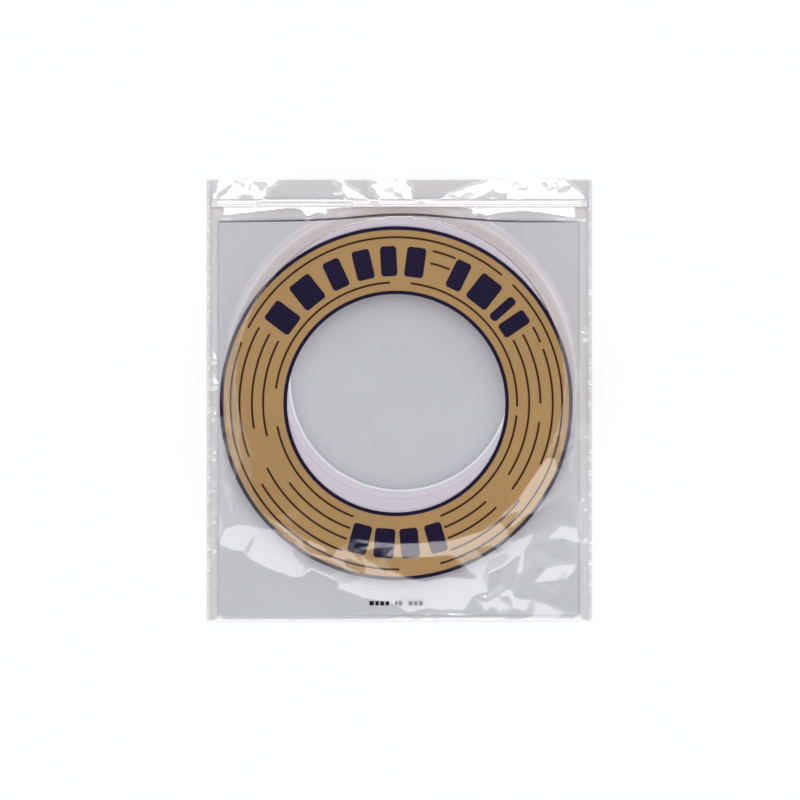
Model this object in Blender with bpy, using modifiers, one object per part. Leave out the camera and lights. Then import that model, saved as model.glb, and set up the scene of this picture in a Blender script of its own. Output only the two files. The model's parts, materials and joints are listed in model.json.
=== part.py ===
"""A roll of copper foil tape in its resealable film bag, with the bag's backing card.

Metres, +Z up. The bag lies on its back, its mouth towards +Y, and the origin is the middle of
its footprint on the surface that it lies on. Each moving group hangs from an empty that stands
on its joint's axis, and its pieces are modelled around that empty.
"""

import math

import bmesh
import bpy
from mathutils import Vector

MM = 0.001

# Bag: one sheet of film, folded at the bottom and welded up both sides.
BAG_WIDTH = 134.4 * MM
BAG_HEIGHT = 153.9 * MM
FILM = 0.1 * MM
WELD_WIDTH = 1.2 * MM
FOLD_RADIUS = 0.6 * MM
SEAM_GAP = 0.05 * MM

# Zip: an arrow-headed rib on the back film, held by two hooked jaws on the front lip.
ZIP_Y = 68.6 * MM
ZIP_BASE_WIDTH = 2.4 * MM
ZIP_BASE = 0.25 * MM
ZIP_LENGTH = 131.0 * MM
RIB_HEIGHT = 0.93 * MM
RIB_STEM = 0.3 * MM
RIB_HEAD_WIDTH = 0.9 * MM
RIB_HEAD_HEIGHT = 0.27 * MM
RIB_TIP_WIDTH = 0.3 * MM
JAW_OUTER = 1.5 * MM
JAW_INNER = 1.0 * MM
JAW_HEIGHT = 0.68 * MM
HOOK_OPENING = 0.5 * MM
HOOK_HEIGHT = 0.17 * MM
ZIP_HEIGHT = 1.36 * MM

# Mouth: the front lip turns about the line where it meets the front film.
MOUTH_Y = 66.9 * MM

# Backing card
CARD_WIDTH = 125.3 * MM
CARD_HEIGHT = 137.8 * MM
CARD_THICKNESS = 0.6 * MM
CARD_X = -0.3 * MM
CARD_Y = -5.9 * MM
CARD_Z = 0.3 * MM
CARD_CORNER = 1.0 * MM

# Roll: 36 yards of 7/32 inch tape on a 3 inch core.
ROLL_X = 0.3 * MM
ROLL_Y = 7.1 * MM
ROLL_GAP = 0.3 * MM
CORE_BORE_RADIUS = 38.1 * MM
CORE_WALL = 3.0 * MM
CORE_WIDTH = 5.9 * MM
CORE_CHAMFER = 0.35 * MM
TAPE_WIDTH = 5.56 * MM
FOIL = 0.06 * MM
LINER = 0.11 * MM
LAYER_GAP = 0.03 * MM
STARTER = 0.08 * MM
STARTER_DEGREES = 30.0
ROLL_RADIUS = 57.0 * MM
TURN_SEGMENTS = 72
FACET_DEGREES = 360.0 / TURN_SEGMENTS

# Tail: the tape's free end, lying clockwise from its root on the roll.
TAIL_ROOT_DEGREES = 240.0
TAIL_DEGREES = 10.0
TAIL_END_GAP_DEGREES = 0.15

# Front film over the roll: it puffs out past the rim in front of the tail, which can lift there.
FILM_CLEARANCE = 0.2 * MM
PLATEAU_MARGIN = 0.7 * MM
PUFF_DEGREES = 233.0
PUFF_HALF_ANGLE_DEGREES = 40.0
PUFF_REACH = 12.0 * MM
DRAPE_RUN = 5.5 * MM
SIDE_SEGMENTS = 14
CARD_EDGE_MARGIN = 0.45 * MM
STEEP_MARGIN = 0.9 * MM

# Worked out from the above
HALF_WIDTH = BAG_WIDTH / 2
HALF_HEIGHT = BAG_HEIGHT / 2
INNER_X = HALF_WIDTH - WELD_WIDTH
FOLD_Y = -HALF_HEIGHT + FOLD_RADIUS
FOLD_TOP_Z = 2 * FOLD_RADIUS - FILM / 2
LIP_Z = FILM + 0.02 * MM + ZIP_HEIGHT
CARD_TOP_Z = CARD_Z + CARD_THICKNESS
ROLL_Z = CARD_TOP_Z + ROLL_GAP
TAPE_Z = ROLL_Z + (CORE_WIDTH - TAPE_WIDTH) / 2
CORE_OUTER_RADIUS = CORE_BORE_RADIUS + CORE_WALL
PACK_INNER_RADIUS = CORE_OUTER_RADIUS + STARTER + 2 * LAYER_GAP
TURN_PITCH = FOIL + LINER + 2 * LAYER_GAP
FOIL_RADIUS = ROLL_RADIUS - FOIL / 2
LINER_RADIUS = FOIL_RADIUS - FOIL / 2 - LAYER_GAP - LINER / 2
PACK_OUTER_RADIUS = LINER_RADIUS - LINER / 2 - TURN_PITCH - 2 * LAYER_GAP
PLATEAU_Z = ROLL_Z + CORE_WIDTH + FILM_CLEARANCE + FILM / 2
CARD_DRAPE_Z = CARD_TOP_Z + FILM_CLEARANCE + FILM / 2


def clear_scene():
    for old in list(bpy.data.objects):
        bpy.data.objects.remove(old)


def make_material(name, colour, roughness, metallic=0.0, alpha=1.0):
    material = bpy.data.materials.new(name)
    material.use_nodes = True
    shader = material.node_tree.nodes["Principled BSDF"]
    shader.inputs["Base Color"].default_value = (*colour, 1.0)
    shader.inputs["Roughness"].default_value = roughness
    shader.inputs["Metallic"].default_value = metallic
    shader.inputs["Alpha"].default_value = alpha
    return material


def make_empty(name, location, parent=None):
    empty = bpy.data.objects.new(name, None)
    empty.location = location
    empty.parent = parent
    if parent:
        empty.location = Vector(location) - parent.matrix_world.translation
    COLLECTION.objects.link(empty)
    bpy.context.view_layer.update()
    return empty


def add_piece(name, data, material, parent, location=(0, 0, 0)):
    """An object named for the sub-part, hung from the empty of the group that it moves with."""
    piece = bpy.data.objects.new(name, data)
    piece.data.materials.append(material)
    piece.parent = parent
    piece.location = location
    COLLECTION.objects.link(piece)
    return piece


def mesh_of(bm, name):
    mesh = bpy.data.meshes.new(name)
    bm.to_mesh(mesh)
    bm.free()
    return mesh


def add_slab(name, low, high, material, parent):
    """A flat box between two corners, given around the parent's axis."""
    low, high = Vector(low), Vector(high)
    bm = bmesh.new()
    bmesh.ops.create_cube(bm, size=1.0)
    bmesh.ops.scale(bm, vec=high - low, verts=bm.verts)
    return add_piece(name, mesh_of(bm, name), material, parent, (low + high) / 2)


def add_turned_ring(name, profile, material, parent, z):
    """A ring turned from a closed profile of (radius, height) points, listed down its outer side."""
    bm = bmesh.new()
    corners = [bm.verts.new((radius, 0, height)) for radius, height in profile]
    for start, end in zip(corners, corners[1:] + corners[:1]):
        bm.edges.new((start, end))
    piece = add_piece(name, mesh_of(bm, name), material, parent, (0, 0, z))
    screw = piece.modifiers.new("turn", "SCREW")
    screw.steps = screw.render_steps = TURN_SEGMENTS
    screw.use_merge_vertices = True
    screw.merge_threshold = 0.001 * MM
    screw.use_smooth_shade = False
    return piece


def add_ribbon(name, path, sweep, thickness, material, parent):
    """A strip: the path swept straight along one vector, then given its thickness about the middle."""
    bm = bmesh.new()
    line = [bm.verts.new(point) for point in path]
    edges = [bm.edges.new(pair) for pair in zip(line, line[1:])]
    swept = bmesh.ops.extrude_edge_only(bm, edges=edges)["geom"]
    moved = [item for item in swept if isinstance(item, bmesh.types.BMVert)]
    bmesh.ops.translate(bm, vec=sweep, verts=moved)
    piece = add_piece(name, mesh_of(bm, name), material, parent)
    thicken(piece, thickness)
    return piece


def thicken(piece, thickness):
    solid = piece.modifiers.new("thickness", "SOLIDIFY")
    solid.thickness = thickness
    solid.offset = 0
    solid.use_even_offset = True


def add_extrusion(name, outline, length, material, parent, location):
    """A profile in the YZ plane, drawn as (y, z) points, extruded along X about its middle."""
    bm = bmesh.new()
    corners = [bm.verts.new((-length / 2, y, z)) for y, z in outline]
    face = bm.faces.new(corners)
    end = bmesh.ops.extrude_face_region(bm, geom=[face])["geom"]
    moved = [item for item in end if isinstance(item, bmesh.types.BMVert)]
    bmesh.ops.translate(bm, vec=(length, 0, 0), verts=moved)
    bmesh.ops.recalc_face_normals(bm, faces=bm.faces)
    return add_piece(name, mesh_of(bm, name), material, parent, location)


def spiral_points(radius, start_degrees, sweep_degrees, pitch=0.0):
    """Points round the roll's axis. The radius falls by one pitch in each turn anticlockwise."""
    points = []
    segments = round(abs(sweep_degrees) / FACET_DEGREES)
    for step in range(segments + 1):
        turned = sweep_degrees * step / segments
        angle = math.radians(start_degrees + turned)
        here = radius - pitch * turned / 360
        points.append(Vector((here * math.cos(angle), here * math.sin(angle), 0)))
    return points


def rectangle_points(x, low_y, high_y):
    """Points round a rectangle, anticlockwise from its lower right corner, evenly along each side."""
    corners = [Vector((x, low_y)), Vector((x, high_y)), Vector((-x, high_y)), Vector((-x, low_y))]
    points = []
    for start, end in zip(corners, corners[1:] + corners[:1]):
        for step in range(SIDE_SEGMENTS):
            points.append(start.lerp(end, step / SIDE_SEGMENTS))
    return points


def plateau_radius(outwards):
    """How far from the roll's axis the film stays level, in the direction of a 2D vector."""
    off = (math.degrees(math.atan2(outwards.y, outwards.x)) - PUFF_DEGREES + 180) % 360 - 180
    share = min(1.0, abs(off) / PUFF_HALF_ANGLE_DEGREES)
    return ROLL_RADIUS + PLATEAU_MARGIN + PUFF_REACH * math.cos(math.radians(90 * share)) ** 2


def draped_height(point):
    """Height of the film's middle outside the roll: down from the level part onto the card."""
    outwards = point - Vector((ROLL_X, ROLL_Y))
    past_rim = outwards.length - plateau_radius(outwards)
    fall = min(1.0, max(0.0, past_rim / DRAPE_RUN))
    return PLATEAU_Z + (CARD_DRAPE_Z - PLATEAU_Z) * fall


def film_loops():
    """The front film's loops, from the roll's rim, over the card's edge, to the bag's seams."""
    centre = Vector((ROLL_X, ROLL_Y))
    outer = rectangle_points(INNER_X - SEAM_GAP, FOLD_Y + SEAM_GAP, MOUTH_Y - SEAM_GAP)
    card_low = CARD_Y - CARD_HEIGHT / 2 - CARD_EDGE_MARGIN
    card_x = CARD_WIDTH / 2 + abs(CARD_X) + CARD_EDGE_MARGIN
    edge = rectangle_points(card_x, card_low, MOUTH_Y - STEEP_MARGIN)
    outwards = [(point - centre).normalized() for point in outer]
    rim = [centre + direction * plateau_radius(direction) for direction in outwards]
    seams = []
    for point in outer:
        at_mouth = point.y > MOUTH_Y - STEEP_MARGIN
        at_fold = point.y < card_low
        height = LIP_Z + FILM / 2 if at_mouth else FOLD_TOP_Z if at_fold else 1.5 * FILM + SEAM_GAP
        seams.append(point.to_3d() + Vector((0, 0, height)))
    shoulder = [point.to_3d() + Vector((0, 0, draped_height(point))) for point in edge]
    plateau = [point.to_3d() + Vector((0, 0, PLATEAU_Z)) for point in rim]
    return [plateau, shoulder, seams]


def build_front_film(film, bag):
    bm = bmesh.new()
    loops = [[bm.verts.new(point) for point in loop] for loop in film_loops()]
    bm.faces.new(loops[0])
    for inner, outer in zip(loops, loops[1:]):
        for here in range(len(inner)):
            after = (here + 1) % len(inner)
            bm.faces.new((inner[here], outer[here], outer[after], inner[after]))
    bmesh.ops.recalc_face_normals(bm, faces=bm.faces)
    thicken(add_piece("front_film", mesh_of(bm, "front_film"), film, bag), FILM)


def build_bag(film, bag):
    add_slab(
        "back_film",
        (-INNER_X + SEAM_GAP, FOLD_Y + SEAM_GAP, 0),
        (INNER_X - SEAM_GAP, HALF_HEIGHT, FILM),
        film,
        bag,
    )
    for side, name in ((-1, "left_side_weld"), (1, "right_side_weld")):
        inner, outer = sorted((side * INNER_X, side * HALF_WIDTH))
        add_slab(name, (inner, -HALF_HEIGHT, 0), (outer, HALF_HEIGHT, 2 * FILM), film, bag)
    middle = FOLD_RADIUS - FILM / 2
    fold = []
    for step in range(9):
        angle = math.radians(270 - 180 * step / 8)
        y = FOLD_Y + middle * math.cos(angle)
        fold.append((-INNER_X + SEAM_GAP, y, FOLD_RADIUS + middle * math.sin(angle)))
    sweep = (2 * (INNER_X - SEAM_GAP), 0, 0)
    add_ribbon("bottom_fold", fold, sweep, FILM, film, bag)
    build_front_film(film, bag)


def zip_rib_outline():
    """Half of the rib's outline from its base up, mirrored to the other side of its middle."""
    half = [
        (ZIP_BASE_WIDTH / 2, 0),
        (ZIP_BASE_WIDTH / 2, ZIP_BASE),
        (RIB_STEM / 2, ZIP_BASE),
        (RIB_STEM / 2, RIB_HEIGHT - RIB_HEAD_HEIGHT),
        (RIB_HEAD_WIDTH / 2, RIB_HEIGHT - RIB_HEAD_HEIGHT),
        (RIB_TIP_WIDTH / 2, RIB_HEIGHT),
    ]
    return half + [(-y, z) for y, z in reversed(half)]


def zip_jaw_outline():
    """Half of the jaws' outline, hanging from the lip, mirrored to the other side."""
    half = [
        (ZIP_BASE_WIDTH / 2, 0),
        (ZIP_BASE_WIDTH / 2, -ZIP_BASE),
        (JAW_OUTER / 2, -ZIP_BASE),
        (JAW_OUTER / 2, -ZIP_BASE - JAW_HEIGHT),
        (HOOK_OPENING / 2, -ZIP_BASE - JAW_HEIGHT),
        (HOOK_OPENING / 2, -ZIP_BASE - JAW_HEIGHT + HOOK_HEIGHT),
        (JAW_INNER / 2, -ZIP_BASE - JAW_HEIGHT + HOOK_HEIGHT),
        (JAW_INNER / 2, -ZIP_BASE),
    ]
    return half + [(-y, z) for y, z in reversed(half)]


def build_mouth(film, zip_plastic, bag, mouth):
    rib_at = (0, ZIP_Y, FILM + 0.02 * MM)
    add_extrusion("zip_rib", zip_rib_outline(), ZIP_LENGTH, zip_plastic, bag, rib_at)
    jaws_at = (0, ZIP_Y - MOUTH_Y, -FILM / 2 - 0.02 * MM)
    add_extrusion("zip_jaws", zip_jaw_outline(), ZIP_LENGTH, zip_plastic, mouth, jaws_at)
    low = (-INNER_X + SEAM_GAP, SEAM_GAP, -FILM / 2)
    high = (INNER_X - SEAM_GAP, HALF_HEIGHT - MOUTH_Y, FILM / 2)
    add_slab("front_lip", low, high, film, mouth)


def build_card(card, insert):
    half = Vector((CARD_WIDTH, CARD_HEIGHT, CARD_THICKNESS)) / 2
    piece = add_slab("backing_card", -half, half, card, insert)
    bevel = piece.modifiers.new("cut_corners", "BEVEL")
    bevel.width = CARD_CORNER
    bevel.segments = 3
    bevel.limit_method = "WEIGHT"
    weights = piece.data.attributes.new("bevel_weight_edge", "FLOAT", "EDGE")
    for edge in piece.data.edges:
        start, end = (piece.data.vertices[index].co for index in edge.vertices)
        weights.data[edge.index].value = float(abs(start.z - end.z) > CARD_THICKNESS / 2)


def build_roll(materials, roll):
    outer, inner, top, cut = CORE_OUTER_RADIUS, CORE_BORE_RADIUS, CORE_WIDTH, CORE_CHAMFER
    core = [(outer, top), (outer, 0), (inner + cut, 0), (inner, cut), (inner, top - cut)]
    core.append((inner + cut, top))
    add_turned_ring("core_tube", core, materials["core"], roll, 0)
    tape_z = TAPE_Z - ROLL_Z
    pack = [
        (PACK_OUTER_RADIUS, TAPE_WIDTH),
        (PACK_OUTER_RADIUS, 0),
        (PACK_INNER_RADIUS, 0),
        (PACK_INNER_RADIUS, TAPE_WIDTH),
    ]
    add_turned_ring("wound_tape", pack, materials["wound tape"], roll, tape_z)
    starter_radius = CORE_OUTER_RADIUS + LAYER_GAP + STARTER / 2
    strips = (
        ("starter_strip", starter_radius, STARTER, 0, STARTER_DEGREES, 0, "adhesive"),
        ("outer_foil_turn", FOIL_RADIUS, FOIL, TAIL_ROOT_DEGREES, 360, TURN_PITCH, "foil"),
        ("outer_liner_turn", LINER_RADIUS, LINER, TAIL_ROOT_DEGREES, 360, TURN_PITCH, "liner"),
    )
    for name, radius, thickness, start, sweep, pitch, material in strips:
        path = spiral_points(radius, start, sweep, pitch)
        path = [point + Vector((0, 0, tape_z)) for point in path]
        add_ribbon(name, path, (0, 0, TAPE_WIDTH), thickness, materials[material], roll)


def build_tail(name, radius, thickness, material, hinge, root):
    """One layer of the free end, modelled round its hinge at the tail's root."""
    path = spiral_points(radius, TAIL_ROOT_DEGREES - TAIL_END_GAP_DEGREES, -TAIL_DEGREES)
    path = [point - root + Vector((0, 0, TAPE_Z - ROLL_Z)) for point in path]
    add_ribbon(name, path, (0, 0, TAPE_WIDTH), thickness, material, hinge)


def main():
    film = make_material("clear_film", (0.80, 0.81, 0.84), 0.12, alpha=0.35)
    zip_plastic = make_material("zip_plastic", (0.85, 0.85, 0.87), 0.25, alpha=0.7)
    card = make_material("grey_card", (0.52, 0.53, 0.58), 0.8)
    materials = {
        "core": make_material("core_board", (0.72, 0.70, 0.70), 0.7),
        "wound tape": make_material("wound_tape_edge", (0.66, 0.55, 0.52), 0.55),
        "foil": make_material("copper_foil", (0.78, 0.40, 0.25), 0.25, metallic=1.0),
        "liner": make_material("release_liner", (0.82, 0.81, 0.80), 0.6),
        "adhesive": make_material("starter_adhesive", (0.70, 0.68, 0.60), 0.4),
    }
    bag = make_empty("bag_origin", (0, 0, 0))
    mouth = make_empty("mouth_axis", (0, MOUTH_Y, LIP_Z + FILM / 2), bag)
    insert = make_empty("insert_axis", (CARD_X, CARD_Y, CARD_Z + CARD_THICKNESS / 2), bag)
    roll = make_empty("roll_axis", (ROLL_X, ROLL_Y, ROLL_Z), insert)
    build_bag(film, bag)
    build_mouth(film, zip_plastic, bag, mouth)
    build_card(card, insert)
    build_roll(materials, roll)
    root = spiral_points(FOIL_RADIUS, TAIL_ROOT_DEGREES, 360)[0]
    tail_at = Vector((ROLL_X, ROLL_Y, ROLL_Z)) + root
    for name, radius, thickness, material in (
        ("foil_tail", FOIL_RADIUS, FOIL, "foil"),
        ("liner_tail", LINER_RADIUS, LINER, "liner"),
    ):
        hinge = make_empty(name + "_axis", tail_at, roll)
        build_tail(name, radius, thickness, materials[material], hinge, root)


clear_scene()
COLLECTION = bpy.data.collections.new("copper_foil_tape_roll")
bpy.context.scene.collection.children.link(COLLECTION)
main()
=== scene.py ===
"""Looks for a roll of copper foil tape that lies on its card in a printed zip bag.

Lengths here are in millimetres until a mesh is made. The row frame is the CAD's: +Z up along the
roll's axis, +Y towards the bag's mouth, the origin in the middle of the bag's underside.
"""

import json
import math
import random

import bpy
import numpy as np
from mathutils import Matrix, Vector
from mathutils.geometry import delaunay_2d_cdt


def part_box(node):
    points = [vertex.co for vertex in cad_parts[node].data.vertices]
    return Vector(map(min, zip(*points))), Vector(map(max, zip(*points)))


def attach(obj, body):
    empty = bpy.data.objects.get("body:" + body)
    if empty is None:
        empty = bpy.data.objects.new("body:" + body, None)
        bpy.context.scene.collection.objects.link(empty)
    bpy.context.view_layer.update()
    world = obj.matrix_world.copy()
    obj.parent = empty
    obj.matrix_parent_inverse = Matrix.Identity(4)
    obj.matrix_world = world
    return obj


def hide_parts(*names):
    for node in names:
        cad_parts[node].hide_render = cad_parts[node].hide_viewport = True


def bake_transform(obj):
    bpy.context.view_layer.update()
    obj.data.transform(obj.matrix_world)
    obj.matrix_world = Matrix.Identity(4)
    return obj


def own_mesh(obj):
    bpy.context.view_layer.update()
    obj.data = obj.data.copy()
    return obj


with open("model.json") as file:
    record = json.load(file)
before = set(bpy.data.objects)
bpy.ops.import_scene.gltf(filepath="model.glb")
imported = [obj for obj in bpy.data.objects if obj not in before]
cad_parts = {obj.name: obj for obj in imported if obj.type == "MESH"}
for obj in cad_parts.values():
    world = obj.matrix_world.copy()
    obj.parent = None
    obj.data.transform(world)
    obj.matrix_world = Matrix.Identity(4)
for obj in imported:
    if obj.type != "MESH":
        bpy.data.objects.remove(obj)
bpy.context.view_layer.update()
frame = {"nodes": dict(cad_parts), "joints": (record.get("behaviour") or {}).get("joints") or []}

MM = 0.001


def node_box(name):
    """Lowest and highest corners of a CAD node, in millimetres."""
    low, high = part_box(name)
    return [v / MM for v in low], [v / MM for v in high]


def joint(name):
    return next(j for j in frame["joints"] if j["name"] == name)


# Places that the CAD gives
CARD_LOW, CARD_HIGH = node_box("backing_card")
CORE_LOW, CORE_HIGH = node_box("core_tube")
TAPE_LOW, TAPE_HIGH = node_box("wound_tape")
TURN_HIGH = node_box("outer_foil_turn")[1]
WELD_LOW, WELD_HIGH = node_box("left_side_weld")
LIP_LOW, LIP_HIGH = node_box("front_lip")
JAW_LOW, JAW_HIGH = node_box("zip_jaws")
FOLD_LOW, FOLD_HIGH = node_box("bottom_fold")
ROLL_X = (CORE_LOW[0] + CORE_HIGH[0]) / 2
ROLL_Y = (CORE_LOW[1] + CORE_HIGH[1]) / 2
ROLL_R = 57.0  # to the outside of the last turn of foil
BORE_R = 38.1
CORE_R = (CORE_HIGH[0] - CORE_LOW[0]) / 2
HALF_W = -WELD_LOW[0]
HALF_H = WELD_HIGH[1]
INNER_X = -WELD_HIGH[0]
MOUTH_Y = joint("mouth_open")["pos_m"][1] / MM
MOUTH_Z = joint("mouth_open")["pos_m"][2] / MM
TAIL_AT = [v / MM for v in joint("tail_peel")["pos_m"]]

# The front film
STEP = 0.55  # the spacing of its grid
CLEARANCE = 0.27  # the least height above the core and the card
LOW_CLEARANCE = 0.12  # the least height above the tape's loose end and the back film
SIDE_Z, ZIP_Z = 0.27, 1.12  # its height on the side welds and under the zip
RIM = 0.5  # how far past the roll it stays level
PUFFS = ((233.0, 40.0, 12.0), (90.0, 45.0, 1.4))  # more level film: (middle, half width in degrees, reach)
SUCTION, SUCTION_ON_ROLL = 0.30, 0.004  # how hard it is drawn down off the roll and on it
MARGIN_X = 63.2  # where it has come down beside the card
GLINT_SLOPE = 0.185  # film that falls this steeply towards the mouth mirrors the key lamp

# The print on it
PRINT_X, PRINT_Y = -1.1, -1.0
PRINT_IN, PRINT_OUT = 37.9, 61.5
BORDER_WIDTH, LINE_WIDTH = 1.25, 0.66
GOLD_LIFT, NAVY_LIFT, LINE_LIFT = -0.17, -0.05, -0.03  # the inks lie just under the film, gold lowest
PATCH_ROW, PATCH_COLUMN = 0.45, 0.6  # the longest steps across and along a band of ink

# Where the creased film of the lower half bends, as (x, y, height): the rim of the roll, the folds
# below it, and the lines where the film meets the card
BENDS = (
    # level over the roll
    (-40, -20, 7.3), (-30, -36, 7.3), (-10, -44, 7.3), (10, -44, 7.3), (28, -38, 7.3), (40, -24, 7.3),
    # where it leaves the roll
    (-50.5, -20, 7.3), (-51, -31, 7.3), (-48, -38, 7.3), (-45, -40.2, 7.6), (-39, -43.6, 7.95),
    (-34.5, -46.6, 8.1), (-28, -49.6, 8.1), (-22, -51.6, 7.8), (-17, -48.4, 7.5), (0, -49.8, 7.45),
    (10, -49.2, 7.45), (17, -48.7, 7.45), (28, -45.6, 7.4), (34, -41, 7.35), (40, -35.5, 7.35),
    (44.5, -29, 7.35), (50.8, -20, 7.35),
    # the roll's sides
    (-54, -20, 6.3), (-58, -20, 3.6), (-61, -20, 1.9), (-58, -30, 4.4), (-61, -32, 2.4),
    (54.5, -20, 6.0), (58, -20, 4.2), (61, -20, 2.2), (60, -28, 2.6), (62, -37, 2.6), (57, -33, 3.4),
    # a narrow streak along the fold, lower left to the middle
    (-46, -42.4, 6.9), (-40.5, -45.4, 7.2), (-36, -48.2, 7.4), (-29, -51.4, 7.45), (-23, -53.4, 7.65),
    (-17, -53, 6.95), (-10, -56, 6.5), (-3, -59, 6.0), (2, -61, 5.75), (-18, -54.6, 6.4),
    (-11.5, -57.6, 5.9), (-4.5, -60.4, 5.45), (0.5, -62.4, 5.25), (-15, -52, 6.95), (-5, -54, 6.4),
    (-37.5, -50.8, 6.6), (-31.5, -53.6, 7.0), (-24, -55.5, 7.4), (-19, -58, 6.0), (-12, -61.3, 5.4),
    # the first fold
    (3, -54.6, 5.65), (11, -54.2, 5.65), (17.5, -53.6, 5.7), (26, -51.4, 5.9), (17, -61.5, 5.4),
    (9, -63.2, 5.35), (2, -63.4, 5.2), (29, -47.9, 6.6), (35.5, -43.3, 6.8), (42, -37.5, 6.35),
    (46.8, -30.5, 6.4), (52, -22, 6.6), (31, -50.5, 5.8), (38, -45.5, 6.1), (44.5, -39.5, 5.2),
    (50, -32, 5.1), (55, -24, 5.0),
    # lower left
    (-61, -44.5, 3.2), (-57.5, -43.5, 4.6), (-53, -43.6, 5.3), (-48.5, -44.6, 6.3), (-63, -52.3, 1.25),
    (-58, -52.3, 1.17), (-54.5, -52.4, 1.17), (-53, -54.5, 1.17), (-48, -57.3, 1.17),
    (-42, -59.7, 1.17), (-38, -61.5, 1.17), (-34.5, -61.3, 1.17), (-33, -57.5, 2.9),
    (-30.5, -58.5, 1.17), (-25, -61, 1.17), (-22, -62.6, 1.17), (-50, -65, 1.17), (-40, -71, 1.17),
    (-30, -66, 1.17), (-60, -70, 1.17), (-25, -72, 1.17),
    # below the middle
    (-21, -64.3, 1.6), (-22, -65.6, 1.17), (-10, -63.2, 3.95), (0, -63.9, 4.8), (-12, -68.6, 1.17),
    (-2, -70.6, 1.17), (10, -72.2, 1.17), (17, -73.0, 1.17),
    # white pleats along the bottom edge
    (-2, -74.2, 1.17), (3, -73.9, 1.17), (8.5, -74.3, 1.17), (-1, -75.9, 1.49), (3.5, -75.9, 1.48),
    (8, -75.9, 1.47), (10.5, -73.5, 1.17), (21, -73.5, 1.17), (11, -76.1, 1.65), (21.5, -76.1, 1.65),
    (14.5, -76.1, 1.65), (18, -76.1, 1.65), (14, -73.5, 1.17), (17.5, -73.5, 1.17), (23.5, -74.3, 1.17),
    (30, -74.2, 1.17), (24, -76.1, 1.5), (30.5, -76.1, 1.5), (44, -73.7, 1.17), (57, -75.0, 1.17),
    (46, -76.0, 1.62), (58, -76.2, 1.2), (36, -75.5, 1.17), (-10, -75.5, 1.17),
    # lower right
    (29, -61, 3.8), (27, -62.5, 3.7), (22, -66, 3.4), (19, -67, 3.0), (25.5, -68, 1.4),
    (22.7, -73, 1.17), (30.5, -55.4, 5.1), (37, -52.6, 4.9), (31.5, -60, 1.7), (36.5, -57.6, 1.7),
    (31, -67, 1.7), (35.5, -64, 1.9), (31, -70, 2.3), (34, -68, 2.6), (37.5, -66, 2.7),
    (32, -71.8, 1.45), (38.2, -67.6, 1.8), (40, -49.5, 5.2), (42, -54, 4.0), (40.8, -60, 3.1),
    (39.6, -68, 2.3), (38.8, -60, 2.6), (39.9, -54.5, 3.5), (43.6, -54, 3.4), (42.7, -60, 2.6),
    (41.4, -67, 2.2), (44, -51, 3.7), (50, -52, 3.4), (60, -52, 2.3), (51, -58.3, 2.7),
    (58.6, -57.2, 2.3), (53, -63.3, 1.25), (58, -63, 1.2), (46, -58, 2.9), (46, -64, 2.6),
    (42.5, -69, 2.45), (46, -69, 2.4), (52, -71, 2.1), (59, -73.6, 1.3), (40, -72.4, 1.25),
    (50, -66, 2.2), (49, -38.5, 4.3), (56, -42.3, 3.6), (62, -44, 2.9), (52, -42.5, 4.0),
    (54.5, -45.4, 3.4), (57.5, -48.2, 2.4), (60.5, -49.7, 1.4), (63, -50.3, 1.2), (47, -46, 4.2),
    (50, -48.5, 3.6), (61, -60, 1.3), (61, -68, 1.2),
)

# White glints along the side margins: which side, and from which y to which y
GLINTS = (
    (-1, -52.0, -46.5), (-1, -42.0, -38.0), (-1, -31.0, -27.5), (-1, -20.0, -15.0), (-1, -6.0, -2.5),
    (-1, 5.0, 9.5), (-1, 14.0, 17.0),
    (1, -48.0, -44.0), (1, -37.5, -35.0), (1, -12.0, -9.0), (1, 22.0, 25.0),
)


# ---- height fields


def smooth(low, high, x):
    """0 below low, 1 above high, and a soft step between them."""
    t = np.clip((x - low) / (high - low), 0, 1)
    return t * t * (3 - 2 * t)


def blur(field, cells):
    """A Gaussian blur, its width in cells. The field's edge values carry on outwards."""
    reach = int(math.ceil(3 * cells))
    kernel = np.exp(-0.5 * (np.arange(-reach, reach + 1) / cells) ** 2)
    kernel /= kernel.sum()
    padded = np.pad(field, reach, mode="edge")
    rows = np.apply_along_axis(np.convolve, 1, padded, kernel, "valid")
    return np.apply_along_axis(np.convolve, 0, rows, kernel, "valid")


def facets(xs, ys, points):
    """Flat facets between (x, y, height) points, sampled on a grid: how film lies once creased."""
    flat = [Vector((p[0], p[1])) for p in points]
    verts, _, faces, origin, _, _ = delaunay_2d_cdt(flat, [], [], 0, 1e-6)
    heights = [np.mean([points[i][2] for i in group]) if group else 0.0 for group in origin]
    grid = np.zeros((len(ys), len(xs)))
    for face in faces:
        (ax, ay), (bx, by), (cx, cy) = (verts[i] for i in face)
        i0, i1 = np.searchsorted(xs, [min(ax, bx, cx), max(ax, bx, cx)])
        j0, j1 = np.searchsorted(ys, [min(ay, by, cy), max(ay, by, cy)])
        i1, j1 = min(i1 + 1, len(xs)), min(j1 + 1, len(ys))
        area = (bx - ax) * (cy - ay) - (cx - ax) * (by - ay)
        if abs(area) < 1e-9 or i0 >= i1 or j0 >= j1:
            continue
        x, y = np.meshgrid(xs[i0:i1], ys[j0:j1])
        u = ((bx - x) * (cy - y) - (cx - x) * (by - y)) / area
        v = ((cx - x) * (ay - y) - (ax - x) * (cy - y)) / area
        w = 1 - u - v
        inside = (u >= -1e-6) & (v >= -1e-6) & (w >= -1e-6)
        value = u * heights[face[0]] + v * heights[face[1]] + w * heights[face[2]]
        patch = grid[j0:j1, i0:i1]
        patch[inside] = value[inside]
    return grid


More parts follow.
